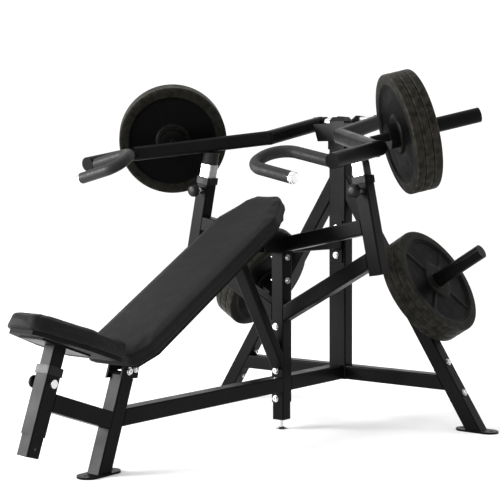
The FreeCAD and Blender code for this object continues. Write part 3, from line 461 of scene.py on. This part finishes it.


# %% [markdown]
# ## Weight plates
# A cast plate is a disc with a thick rim, a thinner web and a hub round the bore, and four low ribs stiffen the
# web. Cutting it with booleans would leave sharp, dead edges, so it is a turned profile instead: one closed
# loop of radii and heights carried round the horn, with the ribs added as a wave of the angle. The same loop
# also stores how rubbed each point is, with a painted highlight added that peaks at the two corners of the rim.

# %% The plate's profile
PLATE_THICK = 0.028
PLATE_ROWS = np.array([
    # radius, height above the back face, how rubbed plus the painted highlight at the rim corners: all round one
    # half section, in millimetres
    (25.6, 1.2, 0.55), (26.6, 0.2, 0.5), (42.0, 0.0, 0.12), (56.0, 0.0, 0.12), (58.6, 0.7, 0.3),
    (61.0, 4.4, 0.0), (64.0, 5.6, 0.0), (68.0, 6.0, 0.0), (90.0, 6.0, 0.0), (115.0, 6.0, 0.0),
    (140.0, 6.0, 0.0), (150.0, 5.6, 0.0), (155.0, 4.2, 0.0), (158.5, 1.2, 0.15), (161.0, 0.2, 0.35),
    (163.0, 0.0, 0.25), (176.0, 0.0, 0.28), (186.0, 0.0, 0.4), (189.5, 0.5, 0.62), (191.6, 1.6, 0.95),
    (192.6, 3.0, 0.98), (192.9, 4.6, 0.66), (193.0, 9.0, 0.56), (193.0, 14.0, 0.6), (193.0, 19.0, 0.56),
    (192.9, 23.2, 0.66), (192.6, 24.8, 0.98), (191.6, 26.2, 0.95), (189.5, 27.3, 0.62),
    (186.0, 27.7, 0.42), (176.0, 27.7, 0.3), (166.0, 27.7, 0.3), (163.6, 27.5, 0.45), (162.2, 26.6, 0.3),
    (161.4, 24.6, 0.0), (160.2, 23.8, 0.0), (156.0, 23.6, 0.05), (154.4, 23.2, 0.2), (153.2, 21.4, 0.0),
    (151.0, 20.0, 0.0), (146.0, 19.7, 0.0), (130.0, 19.7, 0.0), (110.0, 19.7, 0.0), (90.0, 19.7, 0.0),
    (74.0, 19.9, 0.0), (67.0, 20.6, 0.0), (62.6, 23.4, 0.05), (60.2, 26.4, 0.25), (58.0, 27.5, 0.35),
    (55.0, 27.7, 0.15), (44.0, 27.7, 0.12), (34.0, 27.7, 0.15), (26.8, 27.5, 0.5), (25.6, 26.6, 0.55),
    (25.6, 20.0, 0.1), (25.6, 8.0, 0.1),
])
TURNS = 224
RIBS = 4
RIB_HALF_WIDE = 0.013
RIB_HIGH = 0.003
WEB_START, WEB_START_BLEND = 0.060, 0.004
WEB_END, WEB_END_BLEND = 0.156, 0.006
STACK_TURNS = (0.35, 1.3, 0.72)
PLATE_CLEARANCE = 0.00015


def plate_points(start, axis, turned):
    """The profile turned round the axis. On the web, the ribs raise the front face by their height times the
    square of the cosine of a quarter turn's share: the distance from the rib's middle over half its width."""
    radius, height = PLATE_ROWS[:, 0] / 1000, PLATE_ROWS[:, 1] / 1000
    side, across, axis = square_frame(axis)
    angle = np.linspace(0.0, 2 * np.pi, TURNS, endpoint=False)
    nearest = (angle - turned + np.pi / RIBS) % (2 * np.pi / RIBS) - np.pi / RIBS
    beside = np.abs(radius[:, None] * np.sin(nearest)[None, :])
    ridge = np.cos(np.clip(beside / RIB_HALF_WIDE, 0.0, 1.0) * np.pi / 2) ** 2
    on_web = (np.clip((radius - WEB_START) / WEB_START_BLEND, 0.0, 1.0)
              * np.clip((WEB_END - radius) / WEB_END_BLEND, 0.0, 1.0))
    front = height > PLATE_THICK / 2
    lift = np.where(front, RIB_HIGH, 0.0) * on_web
    level = height[:, None] + lift[:, None] * ridge
    circle = np.cos(angle)[:, None] * side + np.sin(angle)[:, None] * across
    return np.asarray(start) + radius[:, None, None] * circle[None] + level[..., None] * axis


joint_axis = {joint["name"]: np.array(joint["axis"], float) for joint in frame["joints"]}


def box_centre(node):
    """Middle of a CAD node's box, which is the middle of any shape that looks the same turned half round."""
    low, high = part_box(node)
    return (np.array(low) + np.array(high)) / 2


# %% Three plates on each horn
def plate_stack(node, body, joint):
    """Three plates side by side in one mesh, where the CAD stack is, each turned by its own angle."""
    axis = unit(joint_axis[joint])
    start = box_centre(node) - axis * (1.5 * PLATE_THICK)
    rows, count = len(PLATE_ROWS), len(STACK_TURNS)
    stack = [plate_points(start + axis * (k * PLATE_THICK + PLATE_CLEARANCE), axis, turned)
             for k, turned in enumerate(STACK_TURNS)]
    faces = grid_faces(rows, TURNS, True, True)
    mesh = solid_mesh(node + "_cast", np.concatenate([s.reshape(-1, 3) for s in stack]),
                      np.concatenate([faces + k * rows * TURNS for k in range(count)]))
    # rim wear and the painted highlight on the rim corners, stored at each point for the cast iron finish
    wear_and_painted_highlight = mesh.attributes.new("wear_and_painted_highlight", "FLOAT", "POINT")
    wear_and_painted_highlight.data.foreach_set("value", np.tile(np.repeat(PLATE_ROWS[:, 2], TURNS), count).astype(np.float32))
    add_piece(node + "_cast", mesh, "cast_iron", body, node)


for hand in ("left", "right"):
    plate_stack("arm_plates_" + hand, "arm_weight_" + hand, "arm_weight_slide_" + hand)
    plate_stack("storage_plates_" + hand, "stored_weight_" + hand, "stored_weight_slide_" + hand)

# %% [markdown]
# ## Cushions
# Each cushion is foam on a board, with vinyl stretched over it and stapled underneath. Its shape starts as a
# loft: at every place along its length it has a cross-section with a flat bottom, straight sides and rounded
# shoulders. That block is remeshed evenly and blown up a little as cloth, so the sides pull in between the
# corners and the top swells, which no bevel gives. The underside is held still, as the staples hold it.

# %% The cushion's loft
def half_width(along, corners, round_off, step=0.001):
    """Half the width at each place: the straight outline, averaged over round_off to soften its corners."""
    fine = np.arange(corners[0][1], corners[-1][1] + step / 2, step)
    straight = np.interp(fine, [c[1] for c in corners], [c[0] for c in corners])
    window = int(round(round_off / step)) * 2 + 1
    padded = np.pad(straight, window // 2, mode="reflect", reflect_type="odd")
    return np.interp(along, fine, np.convolve(padded, np.ones(window) / window, mode="valid"))


def cushion_block(corners, thick, shoulder, crown, plan_round):
    """Rows of a closed cross-section. Across: flat bottom, side, quarter-round shoulder, crowned top. Along:
    the half width follows the outline, and near both ends the top comes down and the sides come in on a
    quarter circle."""
    low, high = corners[0][1], corners[-1][1]
    bend = np.linspace(0.0, np.pi / 2, 7)
    middle = np.linspace(low + plan_round, high - plan_round, 120)
    ends = plan_round * (1 - np.cos(np.linspace(0.0, np.pi / 2, 12)))
    along = np.unique(np.concatenate([low + ends, middle, high - ends]).round(6))
    inside = np.minimum(along - low, high - along)
    wide = half_width(along, corners, 0.014)
    near = np.clip(1 - inside / plan_round, 0.0, 1.0)
    wide = wide - plan_round * (1 - np.sqrt(1 - near ** 2)) * 0.9
    near_top = np.clip(1 - inside / shoulder, 0.0, 1.0)
    top = thick - shoulder * (1 - np.sqrt(1 - near_top ** 2)) * 0.98
    flat = np.linspace(1.0, -1.0, 33)
    share = np.concatenate([np.ones(4), np.ones(7), flat[1:-1], -np.ones(7), -np.ones(4), -flat[1:-1]])
    out = np.concatenate([np.ones(4), np.cos(bend), np.zeros(31), -np.cos(bend[::-1]), -np.ones(4),
                          np.zeros(31)]) * shoulder
    wall = np.linspace(0.0, 1.0, 4)
    level = np.concatenate([wall * 0.98, np.ones(7), np.ones(31), np.ones(7), wall[::-1] * 0.98, np.zeros(31)])
    arc = np.concatenate([np.zeros(4), np.sin(bend), np.ones(31), np.sin(bend[::-1]), np.zeros(4),
                          np.zeros(31)])
    bottom = (level == 0.0) & (np.abs(share) < 1.0)
    across = share * (wide[:, None] - shoulder) + out
    across = np.where(bottom, share * (wide[:, None] - 0.002), across)
    swell = crown * (1 - share ** 2) * (arc == 1.0)
    height = level * (top[:, None] - shoulder) + arc * shoulder + swell * np.clip(inside / 0.05, 0, 1)[:, None]
    return across, np.broadcast_to(along[:, None], across.shape), height


def placed(block, origin, along_axis, up_axis):
    """Turns (across, along, height) into points of the model."""
    across, along, height = block
    sideways = np.array([1.0, 0.0, 0.0])
    return (np.asarray(origin) + across[..., None] * sideways + along[..., None] * unit(along_axis)
            + height[..., None] * unit(up_axis))


# %% Blow the cushion up as cloth
PRESSURE = 4.0
STIFFNESS = 40.0
SWELL_FRAMES = 20
STAPLED_BELOW = 0.004
MOST_SWELL = 0.005


def evaluated_points(obj):
    """Points of an object after its modifiers, and the mesh that holds them."""
    graph = bpy.context.evaluated_depsgraph_get()
    mesh = bpy.data.meshes.new_from_object(obj.evaluated_get(graph), depsgraph=graph)
    points = np.empty(len(mesh.vertices) * 3)
    mesh.vertices.foreach_get("co", points)
    return points.reshape(-1, 3), mesh


def stuffed(name, points, voxel, origin, up_axis):
    """Remeshes the block, swells it under pressure with its underside held, and limits how far points move."""
    rows, columns = points.shape[:2]
    faces = [list(f) for f in grid_faces(rows, columns, False, True)]
    faces += [list(range(columns)), list(range((rows - 1) * columns, rows * columns))]
    block = bpy.data.objects.new(name, solid_mesh(name + "_block", points, faces))
    bpy.context.scene.collection.objects.link(block)
    remesh = block.modifiers.new("even", "REMESH")
    remesh.mode = "VOXEL"
    remesh.voxel_size = voxel
    start, even = evaluated_points(block)
    block.modifiers.clear()
    block.data = even
    height = (start - np.asarray(origin)) @ unit(up_axis)
    held = block.vertex_groups.new(name="stapled")
    held.add(np.nonzero(height < STAPLED_BELOW)[0].tolist(), 1.0, "REPLACE")
    cloth = block.modifiers.new("swell", "CLOTH")
    cloth.settings.use_pressure = True
    cloth.settings.uniform_pressure_force = PRESSURE
    cloth.settings.vertex_group_mass = "stapled"
    cloth.settings.effector_weights.gravity = 0.0
    cloth.settings.tension_stiffness = STIFFNESS
    cloth.settings.compression_stiffness = STIFFNESS
    for count in range(1, SWELL_FRAMES + 1):
        bpy.context.scene.frame_set(count)
    swollen = evaluated_points(block)[0]
    move = swollen - start
    length = np.linalg.norm(move, axis=1, keepdims=True)
    start = start + move * np.minimum(1.0, MOST_SWELL / np.maximum(length, 1e-9))
    block.modifiers.clear()
    bpy.context.scene.frame_set(1)
    even.vertices.foreach_set("co", start.astype(np.float32).ravel())
    even.polygons.foreach_set("use_smooth", np.ones(len(even.polygons), bool))
    even.update()
    mesh = block.data
    bpy.data.objects.remove(block)
    return mesh


def finished_cushion(name, mesh, body, *nodes):
    piece = add_piece(name, mesh, "leather", body, *nodes)
    smooth = piece.modifiers.new("smooth", "SMOOTH")
    smooth.factor = 0.5
    smooth.iterations = 3
    refine = piece.modifiers.new("refine", "SUBSURF")
    refine.levels = 1
    refine.render_levels = 1


# %% Seat and back
SHOULDER, CROWN, PLAN_ROUND = 0.009, 0.0015, 0.016
SEAT_THICK, BACK_THICK = 0.046, 0.044
SWELL_ROOM = 0.0025
SEAT_LEAN = math.radians(19.6)
seat_up = np.array([0.0, math.sin(SEAT_LEAN), math.cos(SEAT_LEAN)])
seat_run = np.array([0.0, -math.cos(SEAT_LEAN), math.sin(SEAT_LEAN)])
seat_origin = np.array([0.0, -0.857, 0.381]) - seat_up * SEAT_THICK
seat_corners = [(0.115, 0.003), (0.115, 0.139), (0.072, 0.294), (0.047, 0.315)]
seat_block = cushion_block(seat_corners, SEAT_THICK - SWELL_ROOM, SHOULDER, CROWN, PLAN_ROUND)
seat_mesh = stuffed("seat_cushion", placed(seat_block, seat_origin, seat_run, seat_up), 0.005,
                    seat_origin, seat_up)
finished_cushion("seat_cushion", seat_mesh, "seat", "seat_pad")

RECLINE = math.radians(30.4)
back_up = np.array([0.0, -math.sin(RECLINE), math.cos(RECLINE)])
back_run = np.array([0.0, math.cos(RECLINE), math.sin(RECLINE)])
back_origin = np.array([0.0, -0.845, 0.341]) - back_up * BACK_THICK
back_corners = [(0.092, 0.003), (0.125, 0.071), (0.125, 0.755), (0.075, 0.868), (0.049, 0.895)]
back_block = cushion_block(back_corners, BACK_THICK - SWELL_ROOM, SHOULDER, CROWN, PLAN_ROUND)
back_mesh = stuffed("back_cushion", placed(back_block, back_origin, back_run, back_up), 0.006,
                    back_origin, back_up)
finished_cushion("back_cushion", back_mesh, "root", "back_pad")

# %% [markdown]
# ## Knobs on the spring pins
# A spring pin is pulled out by a round nylon knob moulded on a plated shaft. A turned profile suits both: the
# radius changes along the pin, and the curve is closed at both ends on the axis, so no hole is left.

# %% Turn the knobs and their shafts
def turned(name, rows, turns, start, axis, finish, body, *nodes):
    """A closed turned piece: rows are (radius, height) in millimetres, first and last on the axis."""
    rows = np.array(rows, float) / 1000
    points = lathe(rows[1:-1], turns, start, axis)
    inner = len(rows) - 2
    faces = grid_faces(inner, turns, False, True).tolist()
    poles = np.asarray(start) + np.array([rows[0, 1], rows[-1, 1]])[:, None] * unit(axis)
    ring = np.arange(turns)
    first, last = inner * turns, inner * turns + 1
    faces += np.stack([np.full(turns, first), ring, (ring + 1) % turns], axis=1).tolist()
    faces += np.stack([np.full(turns, last), (inner - 1) * turns + (ring + 1) % turns,
                       (inner - 1) * turns + ring], axis=1).tolist()
    mesh = solid_mesh(name, np.concatenate([points.reshape(-1, 3), poles]), faces)
    add_piece(name, mesh, finish, body, *nodes)


KNOB_RADIUS = 0.023
KNOB_LONG = 0.0384
PIN_DEEP = 0.018
KNOB_ROWS = [(0, 8.4), (11.2, 8.4), (11.9, 8.9), (12.0, 10.5), (12.4, 12.0), (15.4, 13.6), (19.4, 15.6),
             (22.0, 18.6), (22.9, 22.0), (23.0, 25.4), (22.6, 28.8), (21.0, 32.4), (17.8, 35.4), (13.0, 37.4),
             (7.0, 38.2), (3.0, 38.3), (0, 38.3)]
SHAFT_ROWS = [(0, -18.0), (3.6, -18.0), (4.9, -16.6), (5.0, 0.2), (7.4, 0.6), (8.0, 1.2), (8.0, 8.2),
              (7.6, 8.9), (0, 8.9)]


def pull_knob(knob, body, joint, wide, long, deep):
    """A knob with radius wide and length long, in metres, on a shaft that reaches deep into its sleeve. Its
    outer end is the outer end of its node's box, and the profile is scaled from the larger knob's."""
    out = unit(joint_axis[joint])
    low, high = (np.array(corner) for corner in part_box(knob))
    sideways = wide * np.sqrt(1 - (out ** 2).max())
    foot = (low + high) / 2 + out * (np.abs(out) @ (high - low) / 2 - long - sideways)
    grip = [(radius * wide / KNOB_RADIUS, height * long / KNOB_LONG) for radius, height in KNOB_ROWS]
    shorter = (PIN_DEEP - deep) * 1000
    shaft = [(radius, height + shorter if height < 0 else height * long / KNOB_LONG)
             for radius, height in SHAFT_ROWS]
    turned(knob + "_moulding", grip, 72, foot, out, "black_plastic", body, knob)
    turned(knob + "_shaft", shaft, 48, foot, out, "chrome", body)


for hand in ("left", "right"):
    pull_knob("rest_knob_" + hand, "rest_pin_" + hand, "rest_pin_pull_" + hand,
              KNOB_RADIUS, KNOB_LONG, PIN_DEEP)
SEAT_KNOB_RADIUS = 0.018
SEAT_KNOB_LONG = 0.0244
SEAT_PIN_DEEP = 0.01
pull_knob("seat_knob", "seat_pin", "seat_pin_pull", SEAT_KNOB_RADIUS, SEAT_KNOB_LONG, SEAT_PIN_DEEP)

# %% [markdown]
# ## Chrome handle ends
# The end of each grip is a pressed chrome cap with a rolled rim, a groove and a slightly dished face. The CAD
# cap is a plain disc of the same size, so the turned cap takes its place.

# %% Turn the handle caps
CAP_ROWS = [(0, 0.2), (17.4, 0.2), (18.2, 0.6), (18.5, 1.4), (18.5, 6.6), (17.9, 7.2), (17.9, 8.0), (18.5, 8.6),
            (18.5, 11.8), (18.2, 12.9), (17.2, 13.8), (15.8, 14.0), (14.4, 13.6), (13.6, 12.6), (10.0, 12.2),
            (5.0, 12.1), (2.0, 12.1), (0, 12.1)]
GRIP_DROP = math.radians(12.7)
CAP_HALF_LONG = 0.007
for hand, way in (("left", -1.0), ("right", 1.0)):
    outward = np.array([way * math.cos(GRIP_DROP), 0.0, -math.sin(GRIP_DROP)])
    cap_foot = box_centre("handle_cap_" + hand) - outward * CAP_HALF_LONG
    turned("handle_end_" + hand, CAP_ROWS, 64, cap_foot, outward, "chrome", "arm_" + hand, "handle_cap_" + hand)

# %% [markdown]
# ## Sizes
# The finished model is measured against the CAD model: both boxes are found, and the largest growth past the CAD
# box is printed. The finished model has to stay the size of the CAD model.

# %% Compare both boxes and print the largest growth
shown_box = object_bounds()
low_growth = max(cad - shown for cad, shown in zip(cad_box[0], shown_box[0]))
high_growth = max(shown - cad for cad, shown in zip(cad_box[1], shown_box[1]))
print("largest growth:", round(max(low_growth, high_growth) * 1000, 2), "mm")
